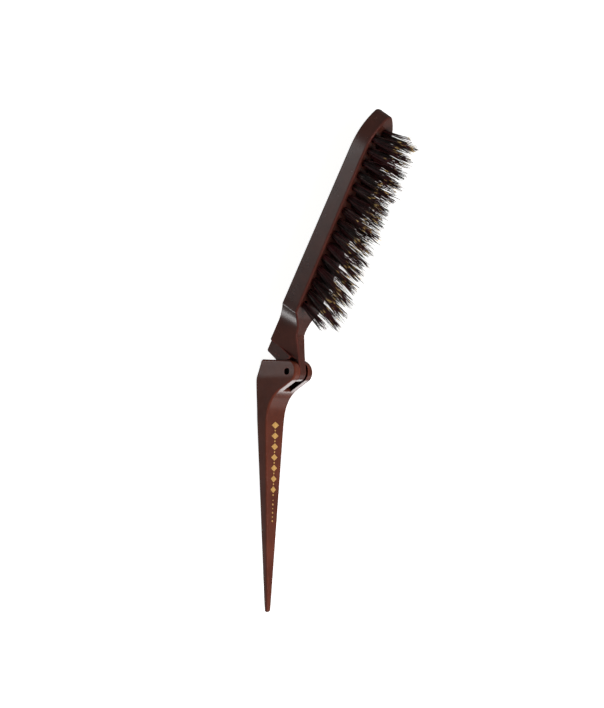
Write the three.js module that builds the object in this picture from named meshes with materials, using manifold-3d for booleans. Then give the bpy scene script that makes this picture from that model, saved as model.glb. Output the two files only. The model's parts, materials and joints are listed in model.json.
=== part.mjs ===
// A folding dressing-out hairbrush with a pin-tail handle: a slim paddle head of bristle tufts that
// folds on a hinge pin between the two ears of the handle.
//
// Side-view coordinates are (x, y) in millimetres from the hinge axis, which runs along Z. On both
// mouldings x points to the bristle side and y towards the tip of the head when the brush is straight.
// The finished group lies on its side, with its origin at the centre of the bottom of its box.

import * as THREE from 'three';
import { mergeVertices } from 'three/addons/utils/BufferGeometryUtils.js';
import Module from 'manifold-3d';

const wasm = await Module();
wasm.setup();

const FOLD_AT_REST = 30.25; // degrees that the head leans to the bristle side
const GAP = 0.3; // between separate pieces
const RUNNING_GAP = 0.45; // between the pieces that turn past each other
const FILLET = 0.9;
const FILLET_STEPS = 2;

// Handle
const EAR_RADIUS = 5.15;
const EAR_TOP_SLOPE = 3; // degrees, falling to the front
const HANDLE_HALF_WIDTH = 6.4;
const EAR_TOP_HALF_WIDTH = 5.8;
const SLOT_HALF_WIDTH = 2.8;
const SLOT_WALL_X = -5.4; // the slot's end wall behind the pin
const SLOT_BOTTOM_Y = -10.4; // where the slot ends on the sloped front
const FRONT_SLOPE = 29; // degrees, of the face below the ears
const SLOPE_END_X = -4; // where that face starts to curve down into the tail
const HANDLE_BACK_X = -18.3;
const BREAK = new THREE.Vector2(-18.8, -2.7); // the back and the sides lean inwards above this
const BACK_TOP_X = -15.5;
const TAIL_TOP = new THREE.Vector2(-12.3, -24);
const TAIL_LENGTH = 109.6;
const TAIL_TIP_THICKNESS = 2.3;
const TAIL_TIP_HALF_WIDTH = 1.15;
const TAPER_START_Y = -21;

// Pin
const PIN_RADIUS = 1.3;
const PIN_HOLE_RADIUS = 1.6;
const PIN_HALF_LENGTH = 4.6; // its ends lie well below the ears' outer faces
const PIN_CHAMFER = 0.25;
const PIN_SIDES = 20;
const BOSS_SIDES = 32;

// Head
const HEAD_LENGTH = 127.3;
const HEAD_HALF_WIDTH = 8.3;
const HEAD_BACK_X = -16.8;
const FACE_X_AT_NECK = -6.9;
const FACE_FALL = 0.01; // the head thins towards its tip by this share of the length
const NOSE_START_Y = 106;
const NOSE_END_HALF_WIDTH = 1.3;
const NOSE_POWER = 2.5; // of the curve that rounds the nose off
const NECK_TOP_Y = 26.5; // the paddle's square end
const NECK_FLARE_Y = 17; // the flare's foot on the back
const NECK_FRONT_FLARE_Y = 15.5; // the flare's foot on the front
const NECK_HALF_WIDTH = 5.8; // at the back
const NECK_FRONT_HALF_WIDTH = 3.1; // at the front flare's foot
const NECK_BOTTOM_Y = 4;
const TONGUE_HALF_WIDTH = SLOT_HALF_WIDTH - RUNNING_GAP;
const TONGUE_RADIUS = 4.7;
const NECK_FRONT_X = -5.6; // at the front flare's foot
const NECK_FACE_Y = 24; // where the neck's front reaches the level of the face
const SHOULDER_BACK_Y = 7.8;
const SHOULDER_SLOPE = 7; // degrees, falling to the front
const HEEL_HALF_WIDTH = 4.9;
const HEEL_CORNER = new THREE.Vector2(-16.5, 1.9); // back end of the heel's bottom edge
const HEEL_SLOPE = 9; // degrees, falling to the front
const HEEL_FRONT_X = -2.6; // the round relief for the ears cuts in behind this
const HEEL_TUCK = 0.4; // how far the heel runs up into the neck
const HEEL_FRONT_ANGLE = 186; // where the heel's bottom edge meets the round of the tongue
const TONGUE_FRONT_ANGLE = 26; // where that round meets the neck's front line
const TONGUE_FILLET = 0.6;
const NUB_RADIUS = 0.55;
const NUB_STAND = 0.2;
const NUB_SEGMENTS = [10, 6];
const NUBS = [new THREE.Vector2(-11, 3.3), new THREE.Vector2(-9, 3.1)];

// Bristle tufts
const TUFT_PITCH = 6.04;
const ROW_SPACING = 4.8;
const OUTER_ROW_START_Y = 31.2;
const TUFTS_PER_ROW = 15;
const FAN_CENTRE_Y = 78.5; // where the tufts stand square to the face
const FAN_RATE = 0.0047; // how much more each tuft leans along the head, per millimetre from there
const TUFT_HOLE_RADIUS = 1.6;
const TUFT_HOLE_DEPTH = 4.5;
const TUFT_TIP_RADIUS = 2;
const TUFT_LENGTH = 16.5; // clear of the face
const TUFT_CROWN = 0.8;
const TUFT_SIDES = 8;
const ANCHOR_SIZE = new THREE.Vector3(1.3, 2.2, 0.4); // the wire anchor that holds a tuft in its hole
const ANCHOR_OVERLAP = 0.6;

const FAR = 40; // past every face, for the plates that cut

const rad = THREE.MathUtils.degToRad;

// ---------------------------------------------------------------- solids

function solid(geometry) {
  const bare = geometry.clone();
  bare.deleteAttribute('normal');
  bare.deleteAttribute('uv');
  const merged = mergeVertices(bare, 1e-4);
  return new wasm.Manifold(new wasm.Mesh({
    numProp: 3,
    vertProperties: new Float32Array(merged.attributes.position.array),
    triVerts: new Uint32Array(merged.index.array),
  }));
}

function geometryOf(manifold) {
  const { vertProperties, triVerts } = manifold.getMesh();
  const geometry = new THREE.BufferGeometry();
  geometry.setAttribute('position', new THREE.BufferAttribute(vertProperties, 3));
  geometry.setIndex(new THREE.BufferAttribute(triVerts, 1));
  geometry.computeVertexNormals();
  return geometry;
}

// A plate on both sides of Z = 0, with its outline's edges rounded inside the outline.
function filletedPlate(shape, halfDepth, fillet) {
  const geometry = new THREE.ExtrudeGeometry(shape, {
    depth: 2 * (halfDepth - fillet),
    bevelSize: fillet,
    bevelOffset: -fillet,
    bevelThickness: fillet,
    bevelSegments: FILLET_STEPS,
    curveSegments: 8,
  });
  return geometry.translate(0, 0, fillet - halfDepth);
}

function plainPlate(shape, lowZ, highZ) {
  const options = { depth: highZ - lowZ, bevelEnabled: false, curveSegments: 24 };
  return new THREE.ExtrudeGeometry(shape, options).translate(0, 0, lowZ);
}

function crossPin(radius, halfLength, sides) {
  return new THREE.CylinderGeometry(radius, radius, 2 * halfLength, sides).rotateX(Math.PI / 2);
}

function reshape(geometry, move) {
  const position = geometry.attributes.position;
  const point = new THREE.Vector3();
  for (let i = 0; i < position.count; i += 1) {
    move(point.fromBufferAttribute(position, i));
    position.setXYZ(i, point.x, point.y, point.z);
  }
  return geometry;
}

function lineY(x, start, slopeDegrees) {
  return start.y - (x - start.x) * Math.tan(rad(slopeDegrees));
}

// ---------------------------------------------------------------- handle

function handleOutline() {
  const shape = new THREE.Shape();
  const topAngle = rad(90 - EAR_TOP_SLOPE);
  const slopeAngle = rad(FRONT_SLOPE - 90);
  const topTangent = new THREE.Vector2(Math.cos(topAngle), Math.sin(topAngle)).multiplyScalar(EAR_RADIUS);
  const slopeTangent = new THREE.Vector2(Math.cos(slopeAngle), Math.sin(slopeAngle));
  slopeTangent.multiplyScalar(EAR_RADIUS);
  const slopeEnd = new THREE.Vector2(SLOPE_END_X, lineY(SLOPE_END_X, slopeTangent, -FRONT_SLOPE));
  const controlX = TAIL_TOP.x + 0.5;
  const curveControl = new THREE.Vector2(controlX, lineY(controlX, slopeTangent, -FRONT_SLOPE));
  const tipFrontX = HANDLE_BACK_X + TAIL_TIP_THICKNESS;
  shape.moveTo(HANDLE_BACK_X, -TAIL_LENGTH);
  shape.lineTo(tipFrontX, -TAIL_LENGTH);
  shape.lineTo(TAIL_TOP.x, TAIL_TOP.y);
  shape.quadraticCurveTo(curveControl.x, curveControl.y, slopeEnd.x, slopeEnd.y);
  shape.absarc(0, 0, EAR_RADIUS, slopeAngle, topAngle, false);
  shape.lineTo(BACK_TOP_X, lineY(BACK_TOP_X, topTangent, EAR_TOP_SLOPE));
  shape.lineTo(BREAK.x, BREAK.y);
  shape.lineTo(HANDLE_BACK_X, TAPER_START_Y);
  return shape;
}

function handleHalfWidth(y) {
  if (y > TAPER_START_Y) {
    const share = Math.max(y - BREAK.y, 0) / (EAR_RADIUS - BREAK.y);
    return THREE.MathUtils.lerp(HANDLE_HALF_WIDTH, EAR_TOP_HALF_WIDTH, share);
  }
  const taper = (TAPER_START_Y - y) / (TAIL_LENGTH + TAPER_START_Y);
  return THREE.MathUtils.lerp(HANDLE_HALF_WIDTH, TAIL_TIP_HALF_WIDTH, taper);
}

// The slot floor, which lies just under the heel when the brush is straight.
function floorY(x) {
  return lineY(x, HEEL_CORNER, HEEL_SLOPE) - RUNNING_GAP;
}

function slot() {
  const outline = new THREE.Shape([
    new THREE.Vector2(SLOT_WALL_X, SLOT_BOTTOM_Y),
    new THREE.Vector2(FAR, SLOT_BOTTOM_Y),
    new THREE.Vector2(FAR, FAR),
    new THREE.Vector2(-FAR, FAR),
    new THREE.Vector2(-FAR, floorY(-FAR)),
    new THREE.Vector2(SLOT_WALL_X, floorY(SLOT_WALL_X)),
  ]);
  return solid(plainPlate(outline, -SLOT_HALF_WIDTH, SLOT_HALF_WIDTH));
}

// The wide pocket behind the pin's round bosses, which the heel drops into.
function heelPocket() {
  const outline = new THREE.Shape([
    new THREE.Vector2(0, floorY(0)),
    new THREE.Vector2(0, FAR),
    new THREE.Vector2(-FAR, FAR),
    new THREE.Vector2(-FAR, floorY(-FAR)),
  ]);
  const halfWidth = HEEL_HALF_WIDTH + GAP;
  const boss = solid(crossPin(EAR_RADIUS, 2 * HANDLE_HALF_WIDTH, BOSS_SIDES));
  return solid(plainPlate(outline, -halfWidth, halfWidth)).subtract(boss);
}

function handleBody() {
  const body = filletedPlate(handleOutline(), HANDLE_HALF_WIDTH, FILLET);
  reshape(body, (point) => {
    point.z -= Math.sign(point.z) * (HANDLE_HALF_WIDTH - handleHalfWidth(point.y));
  });
  const hole = crossPin(PIN_HOLE_RADIUS, 2 * HANDLE_HALF_WIDTH, PIN_SIDES);
  return geometryOf(solid(body).subtract(slot()).subtract(heelPocket()).subtract(solid(hole)));
}

function hingePin() {
  const profile = [
    new THREE.Vector2(0, -PIN_HALF_LENGTH),
    new THREE.Vector2(PIN_RADIUS - PIN_CHAMFER, -PIN_HALF_LENGTH),
    new THREE.Vector2(PIN_RADIUS, PIN_CHAMFER - PIN_HALF_LENGTH),
    new THREE.Vector2(PIN_RADIUS, PIN_HALF_LENGTH - PIN_CHAMFER),
    new THREE.Vector2(PIN_RADIUS - PIN_CHAMFER, PIN_HALF_LENGTH),
    new THREE.Vector2(0, PIN_HALF_LENGTH),
  ];
  return geometryOf(solid(new THREE.LatheGeometry(profile, PIN_SIDES).rotateX(Math.PI / 2)));
}

// ---------------------------------------------------------------- head

function flare(y, footY) {
  return THREE.MathUtils.clamp((y - footY) / (NECK_TOP_Y - footY), 0, 1) ** 2;
}

function headHalfWidth(y) {
  if (y < NECK_TOP_Y) {
    return THREE.MathUtils.lerp(NECK_HALF_WIDTH, HEAD_HALF_WIDTH, flare(y, NECK_FLARE_Y));
  }
  const endShare = (1 - NOSE_END_HALF_WIDTH / HEAD_HALF_WIDTH) ** (1 / NOSE_POWER);
  const noseShare = (Math.max(y - NOSE_START_Y, 0) / (HEAD_LENGTH - NOSE_START_Y)) * endShare;
  return HEAD_HALF_WIDTH * (1 - noseShare ** NOSE_POWER);
}

function frontHalfWidth(y) {
  if (y >= NECK_TOP_Y) {
    return headHalfWidth(y);
  }
  const tongueY = NECK_FRONT_FLARE_Y / 2;
  const share = THREE.MathUtils.clamp((y - tongueY) / (NECK_FRONT_FLARE_Y - tongueY), 0, 1);
  const foot = THREE.MathUtils.lerp(TONGUE_HALF_WIDTH, NECK_FRONT_HALF_WIDTH, share);
  return THREE.MathUtils.lerp(foot, HEAD_HALF_WIDTH, flare(y, NECK_FRONT_FLARE_Y));
}

const tongueFront = new THREE.Vector2(
  TONGUE_RADIUS * Math.cos(rad(TONGUE_FRONT_ANGLE)),
  TONGUE_RADIUS * Math.sin(rad(TONGUE_FRONT_ANGLE)),
);

function frontX(y) {
  if (y >= NECK_FACE_Y) {
    return FACE_X_AT_NECK - FACE_FALL * Math.max(y - NECK_TOP_Y, 0);
  }
  if (y >= NECK_FRONT_FLARE_Y) {
    return THREE.MathUtils.mapLinear(y, NECK_FRONT_FLARE_Y, NECK_FACE_Y, NECK_FRONT_X, FACE_X_AT_NECK);
  }
  return THREE.MathUtils.mapLinear(y, tongueFront.y, NECK_FRONT_FLARE_Y, tongueFront.x, NECK_FRONT_X);
}

function steps(from, to, count) {
  return Array.from({ length: count + 1 }, (_, i) => THREE.MathUtils.lerp(from, to, i / count));
}

// The outline seen from the bristle side, right half and then its mirror image.
function headPlan() {
  const stations = [
    NECK_BOTTOM_Y,
    NECK_FRONT_FLARE_Y / 2,
    NECK_FRONT_FLARE_Y,
    ...steps(NECK_FLARE_Y, NECK_TOP_Y, 6),
    ...steps(NOSE_START_Y, HEAD_LENGTH, 10),
  ];
  const right = stations.map((y) => new THREE.Vector2(headHalfWidth(y), y));
  const left = right.map((point) => new THREE.Vector2(-point.x, point.y)).reverse();
  return new THREE.Shape([...right, ...left]);
}

// The paddle and its neck. Towards the hinge the front of the neck narrows to the tongue's width.
function paddleAndNeck() {
  const halfThickness = (FACE_X_AT_NECK - HEAD_BACK_X) / 2;
  const plate = filletedPlate(headPlan(), halfThickness, FILLET);
  plate.rotateY(Math.PI / 2).translate(HEAD_BACK_X + halfThickness, 0, 0);
  return reshape(plate, (point) => {
    if (point.x > HEAD_BACK_X + halfThickness) {
      point.z += Math.sign(point.z) * (frontHalfWidth(point.y) - headHalfWidth(point.y));
      point.x += frontX(point.y) - FACE_X_AT_NECK;
    }
  });
}

// All that the ears pass through beside the tongue: under the shoulder, round the pin, and below
// the ears' sloped front when the head is folded right over.
function earRelief() {
  const radius = EAR_RADIUS + RUNNING_GAP;
  const shoulderStart = new THREE.Vector2(HEAD_BACK_X, SHOULDER_BACK_Y);
  const tangentAngle = rad(FRONT_SLOPE + 90);
  const tangent = new THREE.Vector2(Math.cos(tangentAngle), Math.sin(tangentAngle)).multiplyScalar(radius);
  const round = new THREE.Shape();
  round.absarc(0, 0, radius, 0, 2 * Math.PI, false);
  const outlines = [
    round,
    new THREE.Shape([
      new THREE.Vector2(-FAR, lineY(-FAR, shoulderStart, SHOULDER_SLOPE)),
      new THREE.Vector2(-FAR, -FAR),
      new THREE.Vector2(0, -FAR),
      new THREE.Vector2(0, lineY(0, shoulderStart, SHOULDER_SLOPE)),
    ]),
    new THREE.Shape([
      tangent,
      new THREE.Vector2(tangent.x, -FAR),
      new THREE.Vector2(FAR, -FAR),
      new THREE.Vector2(FAR, lineY(FAR, tangent, -FRONT_SLOPE)),
    ]),
  ];
  const plates = outlines.map((shape) => solid(plainPlate(shape, -FAR, FAR)));
  return plates.reduce((whole, plate) => whole.add(plate));
}

// The thin web between the ears: the round tongue and the neck's front rib.
function tonguePlate() {
  const backX = HEEL_CORNER.x / 2;
  const shape = new THREE.Shape();
  shape.moveTo(backX, SHOULDER_BACK_Y);
  shape.lineTo(backX, lineY(backX, HEEL_CORNER, HEEL_SLOPE));
  shape.absarc(0, 0, TONGUE_RADIUS, rad(HEEL_FRONT_ANGLE), rad(360 + TONGUE_FRONT_ANGLE), false);
  shape.lineTo(NECK_FRONT_X - GAP, NECK_FRONT_FLARE_Y);
  shape.lineTo(backX, NECK_FRONT_FLARE_Y);
  return filletedPlate(shape, TONGUE_HALF_WIDTH, TONGUE_FILLET);
}

// The wide block under the back of the shoulder, which drops between the ears when the brush is straight.
function heel() {
  const topStart = new THREE.Vector2(HEAD_BACK_X, SHOULDER_BACK_Y + HEEL_TUCK);
  const outline = new THREE.Shape([
    new THREE.Vector2(HEEL_CORNER.x, lineY(HEEL_CORNER.x, topStart, SHOULDER_SLOPE)),
    HEEL_CORNER,
    new THREE.Vector2(HEEL_FRONT_X, lineY(HEEL_FRONT_X, HEEL_CORNER, HEEL_SLOPE)),
    new THREE.Vector2(HEEL_FRONT_X, lineY(HEEL_FRONT_X, topStart, SHOULDER_SLOPE)),
  ]);
  const relief = solid(crossPin(EAR_RADIUS + RUNNING_GAP, FAR, BOSS_SIDES));
  return solid(filletedPlate(outline, HEEL_HALF_WIDTH, TONGUE_FILLET)).subtract(relief);
}

function nub(place, side) {
  const depth = HEEL_HALF_WIDTH + NUB_STAND - NUB_RADIUS;
  return new THREE.SphereGeometry(NUB_RADIUS, ...NUB_SEGMENTS).translate(place.x, place.y, side * depth);
}

function tuftPlaces() {
  const rows = [
    { name: 'near', z: ROW_SPACING, startY: OUTER_ROW_START_Y },
    { name: 'middle', z: 0, startY: OUTER_ROW_START_Y + TUFT_PITCH / 2 },
    { name: 'far', z: -ROW_SPACING, startY: OUTER_ROW_START_Y },
  ];
  return rows.flatMap(({ name, z, startY }) => Array.from({ length: TUFTS_PER_ROW }, (_, i) => {
    const y = startY + i * TUFT_PITCH;
    const lean = FAN_RATE * (y - FAN_CENTRE_Y);
    return { name: `tuft_${name}_${String(i + 1).padStart(2, '0')}`, x: frontX(y), y, z, lean };
  }));
}

function headBody(places) {
  let body = solid(paddleAndNeck()).subtract(earRelief()).add(heel()).add(solid(tonguePlate()));
  for (const side of [-1, 1]) {
    for (const place of NUBS) {
      body = body.add(solid(nub(place, side)));
    }
  }
  body = body.subtract(solid(crossPin(PIN_HOLE_RADIUS, NECK_HALF_WIDTH, PIN_SIDES)));
  const drill = crossPin(TUFT_HOLE_RADIUS, TUFT_HOLE_DEPTH, TUFT_SIDES).rotateY(Math.PI / 2);
  for (const { x, y, z } of places) {
    body = body.subtract(solid(drill.clone().translate(x, y, z)));
  }
  return geometryOf(body);
}

// ---------------------------------------------------------------- bristle tufts

// One tuft with its wire anchor, along +X from the face at x = 0, leaning to one side above the face.
function tuft(lean) {
  const rootRadius = TUFT_HOLE_RADIUS - GAP;
  const bottom = GAP - TUFT_HOLE_DEPTH;
  const rootEnd = bottom + ANCHOR_SIZE.x - ANCHOR_OVERLAP;
  const profile = [
    new THREE.Vector2(0, rootEnd),
    new THREE.Vector2(rootRadius, rootEnd),
    new THREE.Vector2(rootRadius, GAP),
    new THREE.Vector2(TUFT_TIP_RADIUS, TUFT_LENGTH - TUFT_CROWN),
    new THREE.Vector2(0, TUFT_LENGTH),
  ];
  const bristles = new THREE.LatheGeometry(profile, TUFT_SIDES).rotateZ(-Math.PI / 2);
  reshape(bristles, (point) => {
    point.y += lean * Math.max(point.x, 0);
  });
  const anchor = new THREE.BoxGeometry(...ANCHOR_SIZE.toArray());
  anchor.translate(bottom + ANCHOR_SIZE.x / 2, 0, 0);
  return geometryOf(solid(bristles).add(solid(anchor)));
}

// ---------------------------------------------------------------- assembly

function mesh(name, geometry, color, roughness, metalness) {
  const made = new THREE.Mesh(geometry, new THREE.MeshStandardMaterial({ color, roughness, metalness }));
  made.name = name;
  return made;
}

const places = tuftPlaces();

const handle = new THREE.Group();
handle.add(mesh('handle_body', handleBody(), 0x4a2a25, 0.35, 0));
handle.add(mesh('hinge_pin', hingePin(), 0x2b2624, 0.4, 0.9));

const head = new THREE.Group();
head.rotation.z = -rad(FOLD_AT_REST);
head.add(mesh('head_body', headBody(places), 0x3a2d2a, 0.35, 0));
for (const { name, x, y, z, lean } of places) {
  const made = mesh(name, tuft(lean), 0x1c1210, 0.6, 0);
  made.position.set(x, y, z);
  head.add(made);
}

const brush = new THREE.Group();
brush.add(handle, head);
const box = new THREE.Box3().setFromObject(brush, true);
const centre = box.getCenter(new THREE.Vector3());
brush.position.set(-centre.x, -centre.y, -box.min.z);

const model = new THREE.Group();
model.add(brush);

export default model;
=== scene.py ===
"""A folding dressing-out hairbrush: its finished surfaces, bristles, materials, light and camera.

Lengths are in millimetres until a mesh is made, and then in metres. Each moulding is drawn in its own
side view, measured from the hinge pivot: x to the bristle side, y towards the tip of the head, z across.
"""

import json
import math
import random

import bmesh
import bpy
from mathutils import Matrix, Vector


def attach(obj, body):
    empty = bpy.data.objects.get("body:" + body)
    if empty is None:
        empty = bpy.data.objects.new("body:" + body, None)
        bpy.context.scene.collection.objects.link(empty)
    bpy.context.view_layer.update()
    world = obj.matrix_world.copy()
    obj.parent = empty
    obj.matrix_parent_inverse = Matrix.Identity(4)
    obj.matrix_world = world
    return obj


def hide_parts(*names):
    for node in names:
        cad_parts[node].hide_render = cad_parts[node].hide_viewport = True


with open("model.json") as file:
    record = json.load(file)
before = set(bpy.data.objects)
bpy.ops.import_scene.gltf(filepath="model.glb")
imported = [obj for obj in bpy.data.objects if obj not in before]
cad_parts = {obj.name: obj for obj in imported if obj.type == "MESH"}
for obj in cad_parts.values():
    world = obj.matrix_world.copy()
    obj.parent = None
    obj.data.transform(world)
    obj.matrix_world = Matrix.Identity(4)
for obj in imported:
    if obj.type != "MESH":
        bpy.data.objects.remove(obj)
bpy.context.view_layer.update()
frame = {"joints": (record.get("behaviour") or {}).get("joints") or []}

MM = 0.001
FOLD = frame["joints"][0]
PIVOT = Vector(FOLD["pos_m"])
FOLD_AT_REST = math.radians(30.25)

# ------------------------------------------------------------------ camera
TO_CAMERA = Vector((0.656, -0.038, 0.753)).normalized()
CAMERA_DISTANCE = 5.0
FRAME_HEIGHT = 0.3228  # metres across the long side of the picture, at the brush
SENSOR = 36.0
LOOK_RIGHT, LOOK_UP, LOOK_NEAR = 0.0067, 0.0079, 0.0058  # from the pivot to the middle of the picture


def make_camera():
    right = Vector((0, 1, 0)).cross(TO_CAMERA).normalized()
    up = TO_CAMERA.cross(right)
    data = bpy.data.cameras.new("camera")
    data.sensor_width = SENSOR
    data.lens = SENSOR * CAMERA_DISTANCE / FRAME_HEIGHT
    data.clip_start = 0.01
    camera = bpy.data.objects.new("camera", data)
    bpy.context.scene.collection.objects.link(camera)
    target = PIVOT + Vector((0, 0, LOOK_NEAR)) + right * LOOK_RIGHT + up * LOOK_UP
    turn = Matrix((right, up, TO_CAMERA)).transposed().to_4x4()
    camera.matrix_world = Matrix.Translation(target + TO_CAMERA * CAMERA_DISTANCE) @ turn
    bpy.context.scene.camera = camera


make_camera()

# ------------------------------------------------------------------ dimensions
EAR_RADIUS = 5.15
EAR_TOP_SLOPE = math.radians(3)
HANDLE_HALF_WIDTH = 6.4
EAR_TOP_HALF_WIDTH = 5.8
SLOT_HALF_WIDTH = 2.8
SLOT_WALL_X = -5.4
SLOT_BOTTOM_Y = -10.4
FRONT_SLOPE = math.radians(29)
SLOPE_END_X = -4.0
HANDLE_BACK_X = -18.3
BREAK = Vector((-18.8, -2.7))
BREAK_SOFTNESS = 0.9
BACK_TOP_X = -15.5
TAIL_TOP = Vector((-12.3, -24))
TAIL_LENGTH = 109.6
TAIL_TIP_THICKNESS = 2.3
TAIL_TIP_HALF_WIDTH = 1.15
TAPER_START_Y = -21.0
FILLET = 0.9
HANDLE_RIM = 0.22  # rounding of the edges that the cuts leave

PIN_RADIUS = 1.3
PIN_HOLE_RADIUS = 1.6
PIN_HALF_LENGTH = 4.6

HEAD_LENGTH = 127.3
HEAD_HALF_WIDTH = 8.3
HEAD_BACK_X = -16.8
HEAD_RIM = 0.15
FACE_X_AT_NECK = -6.9
FACE_FALL = 0.01
NOSE_START_Y = 106.0
NOSE_END_HALF_WIDTH = 1.3
NOSE_POWER = 2.5
NECK_TOP_Y = 26.5
NECK_FLARE_Y = 17.0
NECK_FRONT_FLARE_Y = 15.5
NECK_HALF_WIDTH = 5.8
NECK_FRONT_HALF_WIDTH = 3.1
NECK_BOTTOM_Y = 4.0
RUNNING_GAP = 0.45
GAP = 0.3
TONGUE_HALF_WIDTH = SLOT_HALF_WIDTH - RUNNING_GAP
TONGUE_RADIUS = 4.7
TONGUE_FILLET = 0.6
TONGUE_FRONT_ANGLE = math.radians(26)
NECK_FRONT_X = -5.6
NECK_FACE_Y = 24.0
SHOULDER_BACK_Y = 7.8
SHOULDER_SLOPE = math.radians(7)
HEEL_HALF_WIDTH = 4.9
HEEL_CORNER_RADIUS = 0.9  # with 0.6 here and 0.4 below, the exact boolean loses the heel
HEEL_FILLET = 0.5
HEEL_CORNER = Vector((-16.5, 1.9))
HEEL_SLOPE = math.radians(9)
HEEL_FRONT_X = -2.6
HEEL_TUCK = 0.4  # how far the heel runs up into the neck
HEEL_FRONT_ANGLE = math.radians(186)  # where the round of the tongue starts, under the heel
NUB_RADIUS = 0.55
NUB_STAND = 0.2
NUBS = (Vector((-11, 3.3)), Vector((-9, 3.1)))

TUFT_PITCH = 6.04
ROW_SPACING = 4.8
OUTER_ROW_START_Y = 31.2
TUFTS_PER_ROW = 15
FAN_CENTRE_Y = 78.5
FAN_RATE = 0.0047
TUFT_HOLE_RADIUS = 1.6
TUFT_HOLE_DEPTH = 4.5
COUNTERSINK_RADIUS = 1.85
TUFT_LENGTH = 16.5

CORNER_STEPS = 6  # faces round each rounded corner
ROUND_SIDES = 48
FINE_ROUND_SIDES = 64
DRILL_SIDES = 28
NUB_SIDES = 16
FAR = 40.0  # past the edge of anything that is cut


def lerp(a, b, share):
    return a + (b - a) * share


def steps(start, end, count):
    return [lerp(start, end, i / count) for i in range(count + 1)]


def full_turn(count):
    """Equal angles round a circle."""
    return [math.tau * i / count for i in range(count)]


def smooth(share):
    share = min(max(share, 0.0), 1.0)
    return share * share * (3 - 2 * share)


def on_handle(point):
    """Millimetres from the pivot in the handle's side view, to the row frame in metres."""
    return PIVOT + Vector(point) * MM


HEAD_TURN = Matrix.Rotation(-FOLD_AT_REST, 3, "Z")


def on_head(point):
    """The same for the head, whose side view leans with the fold."""
    return PIVOT + HEAD_TURN @ (Vector(point) * MM)


# ------------------------------------------------------------------ mesh tools
def new_object(name, points, faces, place):
    mesh = bpy.data.meshes.new(name)
    mesh.from_pydata([place(p) for p in points], [], faces)
    mesh.validate()
    made = bpy.data.objects.new(name, mesh)
    bpy.context.scene.collection.objects.link(made)
    return made


def ring_faces(rings, size):
    """Quads between rings of points that follow each other, and a cap on each end."""
    faces = []
    for ring in range(rings - 1):
        for i in range(size):
            j = (i + 1) % size
            low, high = ring * size, (ring + 1) * size
            faces.append((low + i, low + j, high + j, high + i))
    faces.append(tuple(reversed(range(size))))
    faces.append(tuple(range((rings - 1) * size, rings * size)))
    return faces


def outward(made):
    """Turns the faces of a closed mesh outwards."""
    bpy.context.view_layer.update()
    work = bmesh.new()
    work.from_mesh(made.data)
    bmesh.ops.recalc_face_normals(work, faces=work.faces)
    work.to_mesh(made.data)
    work.free()
    return made


def loft(name, rings, place):
    points = [p for ring in rings for p in ring]
    return outward(new_object(name, points, ring_faces(len(rings), len(rings[0])), place))


def section(y, back_x, front_x, half_back, half_front, radius):
    """A closed ring across the part: a trapezoid with rounded corners and divided sides."""
    corners = (
        (front_x - radius, half_front - radius, 0),
        (back_x + radius, half_back - radius, 1),
        (back_x + radius, radius - half_back, 2),
        (front_x - radius, radius - half_front, 3),
    )
    ring = []
    for x, z, quarter in corners:
        for turn in steps(quarter, quarter + 1, CORNER_STEPS):
            angle = turn * math.pi / 2
            ring.append((x + radius * math.cos(angle), y, z + radius * math.sin(angle)))
    return ring


def plate(name, outline, half_width, fillet, place):
    """A counter-clockwise side-view outline given thickness, with both rims rounded."""
    count = len(outline)
    normals = []
    for i, point in enumerate(outline):
        along = outline[(i + 1) % count] - outline[i - 1]
        normals.append(Vector((-along.y, along.x)).normalized())
    profile = []
    if fillet:
        for turn in steps(0, math.pi / 2, CORNER_STEPS):
            profile.append((fillet * (1 - math.sin(turn)), half_width - fillet * (1 - math.cos(turn))))
    else:
        profile.append((0, half_width))
    levels = profile + [(inset, -z) for inset, z in reversed(profile)]
    rings = [
        [(p.x + n.x * inset, p.y + n.y * inset, z) for p, n in zip(outline, normals)]
        for inset, z in levels
    ]
    return loft(name, rings, place)


def rounded(points, radius, count=5):
    """The outline with each corner replaced by a short curve."""
    out = []
    for i, corner in enumerate(points):
        before, after = points[i - 1] - corner, points[(i + 1) % len(points)] - corner
        cut = min(radius, before.length * 0.45, after.length * 0.45)
        start, end = corner + before.normalized() * cut, corner + after.normalized() * cut
        for share in steps(0, 1, count):
            out.append(start.lerp(corner, share).lerp(corner.lerp(end, share), share))
    return out


def rod(name, radius, half_length, place, sides=ROUND_SIDES):
    """A round bar across the part, round the hinge axis."""
    turns = full_turn(sides)
    rings = [
        [(radius * math.cos(turn), radius * math.sin(turn), z) for turn in turns]
        for z in (-half_length, half_length)
    ]
    return loft(name, rings, place)


def combine(target, other, operation):
    """Cuts or joins other into target, and removes other."""
    modifier = target.modifiers.new("combine", "BOOLEAN")
    modifier.operation = operation
    modifier.solver = "EXACT"
    modifier.object = other
    apply_modifiers(target)
    bpy.data.objects.remove(other)
    return target


def apply_modifiers(made):
    depsgraph = bpy.context.evaluated_depsgraph_get()
    mesh = bpy.data.meshes.new_from_object(made.evaluated_get(depsgraph))
    made.modifiers.clear()
    made.data = mesh
    mesh.name = made.name


def finish_moulding(made, rim):
    """Rounds the edges that the cuts left, and smooths the shading across the rest."""
    bevel = made.modifiers.new("rim", "BEVEL")
    bevel.width = rim * MM
    bevel.segments = 2
    bevel.limit_method = "ANGLE"
    bevel.angle_limit = math.radians(50)
    bevel.use_clamp_overlap = True
    bevel.harden_normals = False
    apply_modifiers(made)
    made.data.shade_smooth()
    made.data.set_sharp_from_angle(angle=math.radians(38))
    normals = made.modifiers.new("normals", "WEIGHTED_NORMAL")
    normals.keep_sharp = True
    normals.weight = 80
    return made


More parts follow.
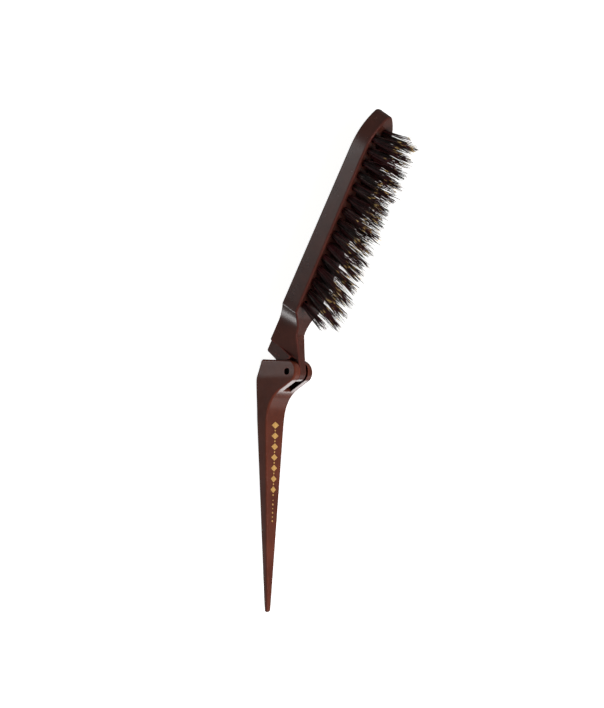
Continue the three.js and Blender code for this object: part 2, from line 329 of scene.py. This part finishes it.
# ------------------------------------------------------------------ handle
def handle_front():
    """The handle's front line from the tail's tip up and round the ears, as points with rising y."""
    tangent = Vector((math.sin(FRONT_SLOPE), -math.cos(FRONT_SLOPE))) * EAR_RADIUS
    rise = math.tan(FRONT_SLOPE)
    tip = Vector((HANDLE_BACK_X + TAIL_TIP_THICKNESS, -TAIL_LENGTH))
    slope_end = Vector((SLOPE_END_X, tangent.y + (SLOPE_END_X - tangent.x) * rise))
    control_x = TAIL_TOP.x + 0.5
    control = Vector((control_x, tangent.y + (control_x - tangent.x) * rise))
    line = [tip.lerp(TAIL_TOP, share) for share in steps(0, 1, 24)]
    for share in steps(0, 1, 20)[1:]:
        line.append(TAIL_TOP.lerp(control, share).lerp(control.lerp(slope_end, share), share))
    line += [slope_end.lerp(tangent, share) for share in steps(0, 1, 5)[1:]]
    top_angle = math.pi / 2 - EAR_TOP_SLOPE
    for angle in steps(FRONT_SLOPE - math.pi / 2, top_angle, 28)[1:]:
        line.append(Vector((math.cos(angle), math.sin(angle))) * EAR_RADIUS)
    return line


def height_above_break(y):
    """Height above the break in the back and the sides, easing in from nothing."""
    above = y - BREAK.y
    return (above + math.hypot(above, BREAK_SOFTNESS)) / 2


def handle_back_x(y):
    top_y = EAR_RADIUS - BACK_TOP_X * math.tan(EAR_TOP_SLOPE)
    lean = (BACK_TOP_X - BREAK.x) / (top_y - BREAK.y)
    bow = smooth((y - TAPER_START_Y) / (BREAK.y - TAPER_START_Y))
    return lerp(HANDLE_BACK_X, BREAK.x, bow) + lean * height_above_break(y)


def handle_half_width(y):
    if y > TAPER_START_Y:
        lean = (HANDLE_HALF_WIDTH - EAR_TOP_HALF_WIDTH) / (EAR_RADIUS - BREAK.y)
        return HANDLE_HALF_WIDTH - lean * height_above_break(y)
    taper = (TAPER_START_Y - y) / (TAIL_LENGTH + TAPER_START_Y)
    return lerp(HANDLE_HALF_WIDTH, TAIL_TIP_HALF_WIDTH, taper)


def handle_section(front, y, inset=0.0):
    back = handle_back_x(y) + inset
    half = handle_half_width(y) - inset
    radius = min(FILLET - inset * 0.9, 0.48 * (front - back), 0.96 * half)
    return section(y, back, front, half, half, max(radius, 0.05))


def handle_rings():
    """Sections from the rounded tip of the tail to the filleted top of the ears."""
    line = handle_front()
    tip = line[0]
    rings = []
    centre = Vector(((handle_back_x(tip.y) + tip.x) / 2, 0))
    round_length = TAIL_TIP_THICKNESS / 2
    for turn in steps(0, math.pi / 2, CORNER_STEPS)[:-1]:
        grow = max(math.sin(turn), 0.12)
        y = tip.y + round_length - round_length * math.cos(turn)
        ring = handle_section(tip.x, tip.y + round_length)
        rings.append([(centre.x + (x - centre.x) * grow, y, z * grow) for x, _, z in ring])
    top = line[-1]
    straight = [p for p in line if tip.y + round_length <= p.y < top.y - FILLET]
    rings += [handle_section(p.x, p.y) for p in straight]
    rise = math.tan(EAR_TOP_SLOPE)
    for turn in steps(0, math.pi / 2, CORNER_STEPS):
        y = top.y - FILLET * (1 - math.sin(turn))
        x = math.sqrt(max(EAR_RADIUS ** 2 - y ** 2, top.x ** 2))
        rings.append(handle_section(x, y, FILLET * (1 - math.cos(turn))))
    sheared = []
    for ring in rings:
        weight = smooth(ring[0][1] / top.y)
        sheared.append([(x, y - weight * rise * (x - top.x), z) for x, y, z in ring])
    return sheared


def heel_line_y(x):
    return HEEL_CORNER.y - (x - HEEL_CORNER.x) * math.tan(HEEL_SLOPE)


def make_handle():
    handle = loft("handle_moulding", handle_rings(), on_handle)
    floor = [Vector((x, heel_line_y(x) - RUNNING_GAP)) for x in (-FAR, SLOT_WALL_X, 0)]
    slot = [
        Vector((SLOT_WALL_X, SLOT_BOTTOM_Y)),
        Vector((FAR, SLOT_BOTTOM_Y)),
        Vector((FAR, FAR)),
        Vector((-FAR, FAR)),
        floor[0],
        floor[1],
    ]
    pocket = [floor[2], Vector((0, FAR)), Vector((-FAR, FAR)), floor[0]]
    cutter = plate("pocket", pocket, HEEL_HALF_WIDTH + GAP, 0, on_handle)
    boss = rod("boss", EAR_RADIUS, 2 * HANDLE_HALF_WIDTH, on_handle, FINE_ROUND_SIDES)
    combine(cutter, boss, "DIFFERENCE")
    combine(handle, cutter, "DIFFERENCE")
    combine(handle, plate("slot", slot, SLOT_HALF_WIDTH, 0, on_handle), "DIFFERENCE")
    combine(handle, rod("hole", PIN_HOLE_RADIUS, 2 * HANDLE_HALF_WIDTH, on_handle), "DIFFERENCE")
    finish_moulding(handle, HANDLE_RIM)
    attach(handle, "handle")
    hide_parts("handle_body")
    return handle


# ------------------------------------------------------------------ head
def flare(y, foot_y):
    return min(max((y - foot_y) / (NECK_TOP_Y - foot_y), 0.0), 1.0) ** 2


def head_half_width(y):
    if y < NECK_TOP_Y:
        return lerp(NECK_HALF_WIDTH, HEAD_HALF_WIDTH, flare(y, NECK_FLARE_Y))
    end_share = (1 - NOSE_END_HALF_WIDTH / HEAD_HALF_WIDTH) ** (1 / NOSE_POWER)
    nose_share = max(y - NOSE_START_Y, 0.0) / (HEAD_LENGTH - NOSE_START_Y) * end_share
    return HEAD_HALF_WIDTH * (1 - nose_share ** NOSE_POWER)


def front_half_width(y):
    if y >= NECK_TOP_Y:
        return head_half_width(y)
    tongue_y = NECK_FRONT_FLARE_Y / 2
    share = min(max((y - tongue_y) / (NECK_FRONT_FLARE_Y - tongue_y), 0.0), 1.0)
    foot = lerp(TONGUE_HALF_WIDTH, NECK_FRONT_HALF_WIDTH, share)
    return lerp(foot, HEAD_HALF_WIDTH, flare(y, NECK_FRONT_FLARE_Y))


def front_x(y):
    """The face of the paddle, and the front line of the neck down to the tongue."""
    if y >= NECK_FACE_Y:
        return FACE_X_AT_NECK - FACE_FALL * max(y - NECK_TOP_Y, 0.0)
    if y >= NECK_FRONT_FLARE_Y:
        share = (y - NECK_FRONT_FLARE_Y) / (NECK_FACE_Y - NECK_FRONT_FLARE_Y)
        return lerp(NECK_FRONT_X, FACE_X_AT_NECK, share)
    tongue_y = TONGUE_RADIUS * math.sin(TONGUE_FRONT_ANGLE)
    tongue_x = TONGUE_RADIUS * math.cos(TONGUE_FRONT_ANGLE)
    return lerp(tongue_x, NECK_FRONT_X, (y - tongue_y) / (NECK_FRONT_FLARE_Y - tongue_y))


def head_rings():
    stations = (
        steps(NECK_BOTTOM_Y, NECK_FRONT_FLARE_Y, 8)
        + steps(NECK_FRONT_FLARE_Y, NECK_TOP_Y, 16)[1:]
        + steps(NECK_TOP_Y, NOSE_START_Y, 20)[1:]
        + steps(NOSE_START_Y, HEAD_LENGTH - FILLET, 22)[1:]
    )
    rings = [
        section(y, HEAD_BACK_X, front_x(y), head_half_width(y), front_half_width(y), FILLET)
        for y in stations
    ]
    for turn in steps(0, math.pi / 2, CORNER_STEPS)[1:]:
        y = HEAD_LENGTH - FILLET * (1 - math.sin(turn))
        inset = FILLET * (1 - math.cos(turn))
        half = max(head_half_width(y) - inset, 0.4)
        radius = min(FILLET - 0.6 * inset, half * 0.9)
        rings.append(section(y, HEAD_BACK_X + inset, front_x(y) - inset, half, half, radius))
    return rings


def shoulder_y(x):
    return SHOULDER_BACK_Y - (x - HEAD_BACK_X) * math.tan(SHOULDER_SLOPE)


def ear_relief(radius):
    """What the ears pass through beside the tongue, as closed cutters in the head's side view."""
    tangent = Vector((-math.sin(FRONT_SLOPE), math.cos(FRONT_SLOPE))) * radius
    under_shoulder = [
        Vector((-FAR, -FAR)),
        Vector((0, -FAR)),
        Vector((0, shoulder_y(0))),
        Vector((-FAR, shoulder_y(-FAR))),
    ]
    folded_front = [
        Vector((tangent.x, -FAR)),
        Vector((FAR, -FAR)),
        Vector((FAR, tangent.y + (FAR - tangent.x) * math.tan(FRONT_SLOPE))),
        tangent,
    ]
    yield plate("under_shoulder", under_shoulder, FAR, 0, on_head)
    yield plate("folded_front", folded_front, FAR, 0, on_head)
    yield rod("ear_round", radius, FAR, on_head, FINE_ROUND_SIDES)


def make_tongue():
    back_x = HEEL_CORNER.x / 2
    outline = [Vector((back_x, NECK_FRONT_FLARE_Y)), Vector((back_x, heel_line_y(back_x)))]
    for angle in steps(HEEL_FRONT_ANGLE, math.tau + TONGUE_FRONT_ANGLE, 40):
        outline.append(Vector((math.cos(angle), math.sin(angle))) * TONGUE_RADIUS)
    outline.append(Vector((NECK_FRONT_X - GAP, NECK_FRONT_FLARE_Y)))
    return plate("tongue", outline, TONGUE_HALF_WIDTH, TONGUE_FILLET, on_head)


def make_heel():
    outline = [
        Vector((HEEL_CORNER.x, shoulder_y(HEEL_CORNER.x) + HEEL_TUCK)),
        HEEL_CORNER,
        Vector((HEEL_FRONT_X, heel_line_y(HEEL_FRONT_X))),
        Vector((HEEL_FRONT_X, shoulder_y(HEEL_FRONT_X) + HEEL_TUCK)),
    ]
    outline = rounded(outline, HEEL_CORNER_RADIUS)
    block = plate("heel", outline, HEEL_HALF_WIDTH, HEEL_FILLET, on_head)
    relief = rod("relief", EAR_RADIUS + RUNNING_GAP, FAR, on_head, FINE_ROUND_SIDES)
    return combine(block, relief, "DIFFERENCE")


def make_nub(place, side):
    depth = HEEL_HALF_WIDTH + NUB_STAND - NUB_RADIUS
    rings = []
    for angle in steps(-math.pi / 2, math.pi / 2, 10)[1:-1]:
        radius, z = NUB_RADIUS * math.cos(angle), NUB_RADIUS * math.sin(angle)
        rings.append([
            (place.x + radius * math.cos(turn), place.y + radius * math.sin(turn), side * depth + z)
            for turn in full_turn(NUB_SIDES)
        ])
    return loft("nub", rings, on_head)


def tuft_places():
    """(node name, y, z) of every tuft, row by row."""
    rows = (
        ("near", ROW_SPACING, OUTER_ROW_START_Y),
        ("middle", 0.0, OUTER_ROW_START_Y + TUFT_PITCH / 2),
        ("far", -ROW_SPACING, OUTER_ROW_START_Y),
    )
    for row, z, start in rows:
        for i in range(TUFTS_PER_ROW):
            yield f"tuft_{row}_{i + 1:02d}", start + i * TUFT_PITCH, z


def make_drills():
    """All the tuft holes in one cutter, each with a small countersink."""
    points, faces = [], []
    for _, y, z in tuft_places():
        first = len(points)
        x = front_x(y)
        profile = (
            (-TUFT_HOLE_DEPTH, TUFT_HOLE_RADIUS),
            (-0.2, TUFT_HOLE_RADIUS),
            (0.1, COUNTERSINK_RADIUS),
            (3, COUNTERSINK_RADIUS),
        )
        for depth, radius in profile:
            for turn in full_turn(DRILL_SIDES):
                points.append((x + depth, y + radius * math.cos(turn), z + radius * math.sin(turn)))
        faces += [tuple(first + v for v in face) for face in ring_faces(len(profile), DRILL_SIDES)]
    return outward(new_object("drills", points, faces, on_head))


def make_head():
    head = loft("head_moulding", head_rings(), on_head)
    for cutter in ear_relief(EAR_RADIUS + RUNNING_GAP):
        combine(head, cutter, "DIFFERENCE")
    combine(head, make_heel(), "UNION")
    combine(head, make_tongue(), "UNION")
    for side in (-1, 1):
        for place in NUBS:
            combine(head, make_nub(place, side), "UNION")
    combine(head, rod("hole", PIN_HOLE_RADIUS, NECK_HALF_WIDTH, on_head), "DIFFERENCE")
    combine(head, make_drills(), "DIFFERENCE")
    finish_moulding(head, HEAD_RIM)
    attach(head, "head")
    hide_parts("head_body")
    return head


# ------------------------------------------------------------------ hinge pin
def make_pin():
    """A plain steel pin with slightly domed, chamfered ends."""
    half = PIN_HALF_LENGTH
    profile = [(-half - 0.12, 0.3), (-half - 0.08, 0.7), (-half, 1.05), (0.25 - half, PIN_RADIUS)]
    profile += [(-z, radius) for z, radius in reversed(profile)]
    turns = full_turn(ROUND_SIDES)
    rings = [
        [(radius * math.cos(turn), radius * math.sin(turn), z) for turn in turns]
        for z, radius in profile
    ]
    pin = loft("pivot_pin", rings, on_handle)
    pin.data.shade_smooth()
    pin.data.set_sharp_from_angle(angle=math.radians(50))
    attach(pin, "handle")
    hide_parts("hinge_pin")
    return pin


# ------------------------------------------------------------------ bristles
STRANDS = 40
STRAND_SIDES = 5
STRAND_STEPS = 6
NYLON_SHARE = 0.14
RED_SHARE = 0.35
STRAY_SHARE = 0.08
STRAY_RADIUS = 0.1
HAIR_RADIUS = 0.15
NYLON_RADIUS = 0.13
NYLON_SHORTER = 1.6  # how much the nylon strands are shorter than the hair
HAIR, RED_HAIR, NYLON, NYLON_TIP, ANCHOR = range(5)
ROOT_SPREAD = 1.3
ROOT_DEPTH = 2.5
FAN_ACROSS = 0.012  # how much the outer rows lean out
FLARE = 0.055  # how much a strand at a tuft's rim leans out
LEAN_SPREAD = 0.038  # random lean of each strand
BEND_SPREAD = 0.025  # random curve of each strand
RIM_BEND = 0.015
LENGTH_SPREAD = 0.075
STRAY_OVER = (1.5, 3.5)  # how much longer a stray strand is, from least to most
HAIR_TIP_SHARE = 0.5
NYLON_TIP_SHARE = 0.9
TIP_STRETCH = 1.4  # what the last stretch of a strand is drawn in towards
LOWEST_Z = -8.1  # the brush lies on its side, and no strand sinks into what it lies on
MOST_OVER = 2.5  # how far the longest strands stand out past the tufts
NECK_SIDE_Y = 40.0  # below this no strand leans out toward the handle
NECK_SIDE_LEAN = 0.02
CROWN = 0.9  # how much shorter the rim of a tuft is than its middle
ANCHOR_HALF_LENGTH = 1.1
ANCHOR_HALF_THICKNESS = 0.2
ANCHOR_HEIGHT = 1.3


def strand(points, faces, root, direction, bend, length, radius, tip_share):
    """Adds one tapering, slightly curved strand, whose last stretch is the shortest."""
    across = direction.cross(Vector((0, 0, 1))).normalized()
    other = direction.cross(across).normalized()
    first = len(points)
    for step in range(STRAND_STEPS + 1):
        share = step / STRAND_STEPS
        if 0 < step < STRAND_STEPS:
            share = lerp(share, 1 - (TIP_STRETCH / length), share ** 3)
        centre = root + direction * (length * share) + bend * (length * share * share)
        centre.z = max(centre.z, LOWEST_Z)
        width = radius * lerp(1.0, tip_share, share ** 2)
        for turn in full_turn(STRAND_SIDES):
            sideways = centre + across * (width * math.cos(turn))
            points.append(sideways + other * (width * math.sin(turn)))
    faces += [tuple(first + v for v in face) for face in ring_faces(STRAND_STEPS + 1, STRAND_SIDES)]


def strand_kinds(shaft, tip):
    """The material of each face of a strand, whose last stretch may differ from the rest."""
    return [shaft] * (STRAND_SIDES * (STRAND_STEPS - 1)) + [tip] * STRAND_SIDES + [shaft, tip]


def make_tuft(name, y, z, finishes):
    chance = random.Random(name)
    x = front_x(y)
    lean_y = FAN_RATE * (y - FAN_CENTRE_Y)
    lean_z = FAN_ACROSS * z / ROW_SPACING
    points, faces, kinds = [], [], []
    for _ in range(STRANDS):
        spread = math.sqrt(chance.random())
        turn = chance.uniform(0, math.tau)
        off = Vector((0, math.cos(turn), math.sin(turn))) * spread
        direction = Vector((
            1,
            lean_y + off.y * FLARE + chance.gauss(0, LEAN_SPREAD),
            lean_z + off.z * FLARE + chance.gauss(0, LEAN_SPREAD),
        ))
        bend = Vector((
            0,
            chance.gauss(0, BEND_SPREAD) + off.y * RIM_BEND,
            chance.gauss(0, BEND_SPREAD) + off.z * RIM_BEND,
        ))
        length = TUFT_LENGTH * (1 + chance.gauss(0, LENGTH_SPREAD)) - CROWN * spread * spread
        stray = chance.random() < STRAY_SHARE
        if stray:
            length += chance.uniform(*STRAY_OVER)
            bend *= 2.0
        length = min(length, TUFT_LENGTH + MOST_OVER)
        if y < NECK_SIDE_Y:
            direction.y = max(direction.y, lean_y - NECK_SIDE_LEAN)
            bend.y = max(bend.y, 0.0)
        toward = direction.normalized()
        root = Vector((x - ROOT_DEPTH, y, z)) + off * ROOT_SPREAD
        draw = chance.random()
        if draw < NYLON_SHARE and not stray:
            tall = length + ROOT_DEPTH - NYLON_SHORTER
            strand(points, faces, root, toward, bend, tall, NYLON_RADIUS, NYLON_TIP_SHARE)
            kinds += strand_kinds(NYLON, NYLON_TIP)
        else:
            radius = STRAY_RADIUS if stray else HAIR_RADIUS
            tall = length + ROOT_DEPTH
            strand(points, faces, root, toward, bend, tall, radius, HAIR_TIP_SHARE)
            kind = RED_HAIR if draw < NYLON_SHARE + RED_SHARE else HAIR
            kinds += strand_kinds(kind, kind)
    before = len(faces)
    add_anchor(points, faces, x, y, z)
    kinds += [ANCHOR] * (len(faces) - before)
    tuft = new_object("bristles_" + name.removeprefix("tuft_"), points, faces, on_head)
    for finish in finishes:
        tuft.data.materials.append(finish)
    tuft.data.polygons.foreach_set("material_index", kinds)
    tuft.data.shade_smooth()
    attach(tuft, "head")
    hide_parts(name)


def add_anchor(points, faces, x, y, z):
    """The flat wire anchor across the bottom of the hole."""
    bottom = x - TUFT_HOLE_DEPTH + GAP
    first = len(points)
    for level in (bottom, bottom + ANCHOR_HEIGHT):
        for side_y, side_z in ((-1, -1), (1, -1), (1, 1), (-1, 1)):
            corner_y = y + side_y * ANCHOR_HALF_LENGTH
            points.append(Vector((level, corner_y, z + side_z * ANCHOR_HALF_THICKNESS)))
    faces += [tuple(first + v for v in face) for face in ring_faces(2, 4)]


# ------------------------------------------------------------------ gold ornament
LOZENGES = 7
LOZENGE_TOP_Y = -24.2
LOZENGE_PITCH = 4.9
LOZENGE_HALF_LENGTH = 1.55
LOZENGE_HALF_WIDTH = 2.5
LOZENGE_NARROWING = 0.045  # from each lozenge to the next, as a share of the first
LINK_RADIUS = 0.42
STUDS = 6
STUD_PITCH = 1.9
STUD_RADII = (0.3, 0.45)
STUD_SIDES = 16
INK_STAND = 0.035
INK_SUNK = 0.05


def handle_front_x(y):
    """The front face of the tail at this height."""
    tip_x = HANDLE_BACK_X + TAIL_TIP_THICKNESS
    return lerp(TAIL_TOP.x, tip_x, (TAIL_TOP.y - y) / (TAIL_LENGTH + TAIL_TOP.y))


def make_ornament():
    """A chain of lozenges and studs in gold ink down the front of the tail."""
    points, faces = [], []

    def ink(outline):
        first = len(points)
        for stand in (-INK_SUNK, INK_STAND):
            points.extend(Vector((handle_front_x(y) + stand, y, z)) for y, z in outline)
        faces.extend(tuple(first + v for v in face) for face in ring_faces(2, len(outline)))

    def lozenge(y, half_long, half_wide):
        ink([(y - half_long, 0), (y, half_wide), (y + half_long, 0), (y, -half_wide)])

    def stud(y, radius):
        turns = full_turn(STUD_SIDES)
        ink([(y + radius * math.cos(turn), radius * math.sin(turn)) for turn in turns])

    y = LOZENGE_TOP_Y
    for i in range(LOZENGES):
        half_wide = LOZENGE_HALF_WIDTH * (1 - LOZENGE_NARROWING * i)
        lozenge(y, LOZENGE_HALF_LENGTH, half_wide)
        stud(y - LOZENGE_PITCH / 2, LINK_RADIUS)
        y -= LOZENGE_PITCH
    for i in range(STUDS):
        stud(y - i * STUD_PITCH, STUD_RADII[i % 2])
    made = outward(new_object("gold_ornament", points, faces, on_handle))
    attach(made, "handle")
    return made


# ------------------------------------------------------------------ materials
CLOUD_SCALE = 70.0
SMUDGE_SCALE = 160.0
PEEL_SCALE = 900.0
HAIR_SCALE = 1400.0
# Painted red glow along edges, standing in for light shining through the thin plastic:
EDGE_GLOW_REACH = 0.0013
EDGE_GLOW_COSINES = (0.99, 0.8)  # where the painted glow on edges starts, and where it is strongest
EDGE_GLOW_STRENGTH = 0.42
# Painted shade in hollows: ambient occlusion darkens the colour and dims the gloss there:
PAINTED_SHADE_REACH = 0.007
PAINTED_SHADE_RANGE = (0.5, 0.85)  # openness where the painted shade of a hollow is full, and where it ends on an open face
PAINTED_SHADE_COLOR = (0.0005, 0.0003, 0.0003)
PAINTED_SHADE_SHARE = 0.02
PAINTED_SHADE_SPECULAR = 0.01


def material(name):
    made = bpy.data.materials.new(name)
    made.use_nodes = True
    return made, made.node_tree.nodes, made.node_tree.links, made.node_tree.nodes["Principled BSDF"]


def noise(nodes, links, vector, scale, detail=4.0, roughness=0.5):
    made = nodes.new("ShaderNodeTexNoise")
    made.inputs["Scale"].default_value = scale
    made.inputs["Detail"].default_value = detail
    made.inputs["Roughness"].default_value = roughness
    links.new(vector, made.inputs["Vector"])
    return made.outputs["Fac"]


def ramp(nodes, links, factor, stops):
    made = nodes.new("ShaderNodeValToRGB")
    elements = made.color_ramp.elements
    while len(elements) < len(stops):
        elements.new(0.5)
    for element, (place, color) in zip(elements, stops):
        element.position = place
        element.color = (*color, 1.0)
    links.new(factor, made.inputs["Fac"])
    return made.outputs["Color"]


def map_range(nodes, links, value, low, high, out_low, out_high):
    made = nodes.new("ShaderNodeMapRange")
    made.inputs["From Min"].default_value = low
    made.inputs["From Max"].default_value = high
    made.inputs["To Min"].default_value = out_low
    made.inputs["To Max"].default_value = out_high
    links.new(value, made.inputs["Value"])
    return made.outputs["Result"]


def blend(nodes, links, factor, low, high):
    """Mixes from the colour low to the colour high, each a socket or a constant."""
    made = nodes.new("ShaderNodeMix")
    made.data_type = "RGBA"
    links.new(factor, made.inputs["Factor"])
    for socket, color in ((made.inputs["A"], low), (made.inputs["B"], high)):
        if isinstance(color, tuple):
            socket.default_value = (*color, 1.0)
        else:
            links.new(color, socket)
    return made.outputs["Result"]


def moulded_plastic(name, dark, light, edge_glow, roughness, specular):
    """Satin moulded plastic: cloudy colour, a painted red glow along edges and painted shade in hollows,
    with smudges.
    """
    made, nodes, links, shader = material(name)
    coordinates = nodes.new("ShaderNodeTexCoord").outputs["Object"]
    clouds = noise(nodes, links, coordinates, CLOUD_SCALE, 5.0, 0.6)
    base = ramp(nodes, links, clouds, ((0.3, dark), (0.7, light)))
    # Painted glow: red is mixed in where the bevelled normal turns away from the face normal, as light
    # through thin plastic would show.
    round_off = nodes.new("ShaderNodeBevel")
    round_off.inputs["Radius"].default_value = EDGE_GLOW_REACH
    facing = nodes.new("ShaderNodeVectorMath")
    facing.operation = "DOT_PRODUCT"
    links.new(round_off.outputs["Normal"], facing.inputs[0])
    links.new(nodes.new("ShaderNodeNewGeometry").outputs["Normal"], facing.inputs[1])
    painted_edge_glow = map_range(nodes, links, facing.outputs["Value"], *EDGE_GLOW_COSINES, 0.0, EDGE_GLOW_STRENGTH)
    glowing = blend(nodes, links, painted_edge_glow, base, edge_glow)
    # Painted shade: ambient occlusion turns hollows near black and takes their gloss away.
    occlusion = nodes.new("ShaderNodeAmbientOcclusion")
    occlusion.inputs["Distance"].default_value = PAINTED_SHADE_REACH
    openness = occlusion.outputs["AO"]
    unshaded_share = map_range(nodes, links, openness, *PAINTED_SHADE_RANGE, PAINTED_SHADE_SHARE, 1.0)
    color = blend(nodes, links, unshaded_share, PAINTED_SHADE_COLOR, glowing)
    links.new(color, shader.inputs["Base Color"])
    shaded_gloss = map_range(nodes, links, openness, *PAINTED_SHADE_RANGE, PAINTED_SHADE_SPECULAR, specular)
    shader.inputs["Specular IOR Level"].default_value = specular  # for readers that drop the link
    links.new(shaded_gloss, shader.inputs["Specular IOR Level"])
    smudges = noise(nodes, links, coordinates, SMUDGE_SCALE, 4.0, 0.7)
    shine = map_range(nodes, links, smudges, 0.3, 0.7, roughness - 0.025, roughness + 0.035)
    links.new(shine, shader.inputs["Roughness"])
    peel = noise(nodes, links, coordinates, PEEL_SCALE, 2.0)
    bump = nodes.new("ShaderNodeBump")
    bump.inputs["Strength"].default_value = 0.12
    bump.inputs["Distance"].default_value = 0.00006
    links.new(peel, bump.inputs["Height"])
    links.new(bump.outputs["Normal"], shader.inputs["Normal"])
    return made


def strand_material(name, dark, light, roughness, specular):
    """Bristle colour that changes from strand to strand and along each one."""
    made, nodes, links, shader = material(name)
    coordinates = nodes.new("ShaderNodeTexCoord").outputs["Object"]
    fine = noise(nodes, links, coordinates, HAIR_SCALE, 2.0, 0.6)
    color = ramp(nodes, links, fine, ((0.3, dark), (0.7, light)))
    links.new(color, shader.inputs["Base Color"])
    shine = map_range(nodes, links, fine, 0.3, 0.7, roughness - 0.06, roughness + 0.08)
    links.new(shine, shader.inputs["Roughness"])
    shader.inputs["Specular IOR Level"].default_value = specular
    return made


def metal(name, dark, light, roughness, scale, metallic=1.0):
    """Metal, or ink with metal in it, with fine unevenness."""
    made, nodes, links, shader = material(name)
    coordinates = nodes.new("ShaderNodeTexCoord").outputs["Object"]
    lines = noise(nodes, links, coordinates, scale, 4.0, 0.7)
    color = ramp(nodes, links, lines, ((0.35, dark), (0.65, light)))
    links.new(color, shader.inputs["Base Color"])
    shine = map_range(nodes, links, lines, 0.3, 0.7, roughness - 0.08, roughness + 0.1)
    links.new(shine, shader.inputs["Roughness"])
    shader.inputs["Metallic"].default_value = metallic
    return made


# Each edge colour below is the painted red glow along the moulding's edges, not a colour of the plastic.
head_plastic = moulded_plastic(
    "head_plastic",
    dark=(0.020, 0.0058, 0.0038),
    light=(0.038, 0.0105, 0.0068),
    edge_glow=(0.12, 0.012, 0.011),
    roughness=0.25,
    specular=0.36,
)
handle_plastic = moulded_plastic(
    "handle_plastic",
    dark=(0.036, 0.0078, 0.0038),
    light=(0.060, 0.0135, 0.0066),
    edge_glow=(0.13, 0.020, 0.011),
    roughness=0.22,
    specular=0.36,
)
steel = metal("dark_steel", (0.02, 0.018, 0.017), (0.05, 0.045, 0.04), 0.4, 2500.0)
brass = metal("anchor_brass", (0.45, 0.32, 0.12), (0.6, 0.45, 0.2), 0.4, 2500.0)
gold = metal("gold_ink", (0.24, 0.13, 0.035), (0.36, 0.21, 0.06), 0.42, 1500.0, 0.25)
bristle_finishes = (
    strand_material("black_hair", (0.0010, 0.0006, 0.0006), (0.006, 0.0025, 0.0020), 0.45, 0.12),
    strand_material("red_hair", (0.008, 0.0016, 0.0016), (0.060, 0.012, 0.014), 0.42, 0.15),
    strand_material("nylon", (0.006, 0.0025, 0.0015), (0.03, 0.010, 0.004), 0.3, 0.5),
    strand_material("nylon_tip", (0.18, 0.09, 0.02), (0.60, 0.44, 0.18), 0.3, 0.4),
    brass,
)

# ------------------------------------------------------------------ build
for made, finish in (
    (make_handle(), handle_plastic),
    (make_head(), head_plastic),
    (make_pin(), steel),
    (make_ornament(), gold),
):
    made.data.materials.clear()
    made.data.materials.append(finish)
for node, tuft_y, tuft_z in tuft_places():
    make_tuft(node, tuft_y, tuft_z, bristle_finishes)


# ------------------------------------------------------------------ stage
FLOOR_HALF = 30.0  # metres


def make_floor():
    """A pale floor that glows a little, as a lit table does, so that shadows on it stay faint."""
    corners = [(x * FLOOR_HALF, y * FLOOR_HALF, 0) for x, y in ((-1, -1), (1, -1), (1, 1), (-1, 1))]
    floor = new_object("floor", corners, [(0, 1, 2, 3)], Vector)
    made, _, _, shader = material("floor")
    shader.inputs["Base Color"].default_value = (0.92, 0.92, 0.91, 1.0)
    shader.inputs["Roughness"].default_value = 0.9
    shader.inputs["Specular IOR Level"].default_value = 0.1
    shader.inputs["Emission Color"].default_value = (1.0, 1.0, 0.99, 1.0)
    shader.inputs["Emission Strength"].default_value = 0.7
    floor.visible_glossy = False
    floor.visible_shadow = False
    floor.data.materials.append(made)


def area_light(name, direction, distance, size, radiance, kind):
    """A rectangular light on the pivot; a glint only shows in reflections, and a wash in none."""
    data = bpy.data.lights.new(name, "AREA")
    data.shape = "RECTANGLE"
    data.size, data.size_y = size
    data.energy = radiance * math.pi * size[0] * size[1]
    made = bpy.data.objects.new(name, data)
    bpy.context.scene.collection.objects.link(made)
    toward = Vector(direction).normalized()
    made.location = PIVOT + toward * distance
    made.rotation_mode = "QUATERNION"
    made.rotation_quaternion = toward.to_track_quat("Z", "Y")
    made.visible_camera = False
    made.visible_diffuse = kind != "glint"
    made.visible_glossy = kind != "wash"


make_floor()
area_light("key", (1.1, -0.25, 0.30), 1.2, (0.6, 0.8), 19.0, "wash")
area_light("top", (0.35, -0.15, 1.15), 1.2, (0.6, 0.8), 1.2, "wash")
area_light("ear_glint", (-0.60, 0.26, 0.66), 0.9, (0.2, 0.2), 5.2, "glint")
area_light("neck_glint", (-0.78, -0.36, 0.50), 1.0, (0.34, 0.34), 11.0, "glint")
area_light("slope_glint", (-0.315, -0.576, -0.753), 0.6, (0.25, 0.25), 3.6, "glint")
area_light("front_glint", (0.357, -0.553, -0.753), 0.6, (0.25, 0.25), 0.7, "glint")
world = bpy.data.worlds.new("world")
world.use_nodes = True
world.node_tree.nodes["Background"].inputs["Color"].default_value = (1.0, 0.98, 0.96, 1.0)
world.node_tree.nodes["Background"].inputs["Strength"].default_value = 0.25
bpy.context.scene.world = world
bpy.context.scene.view_settings.view_transform = "Standard"
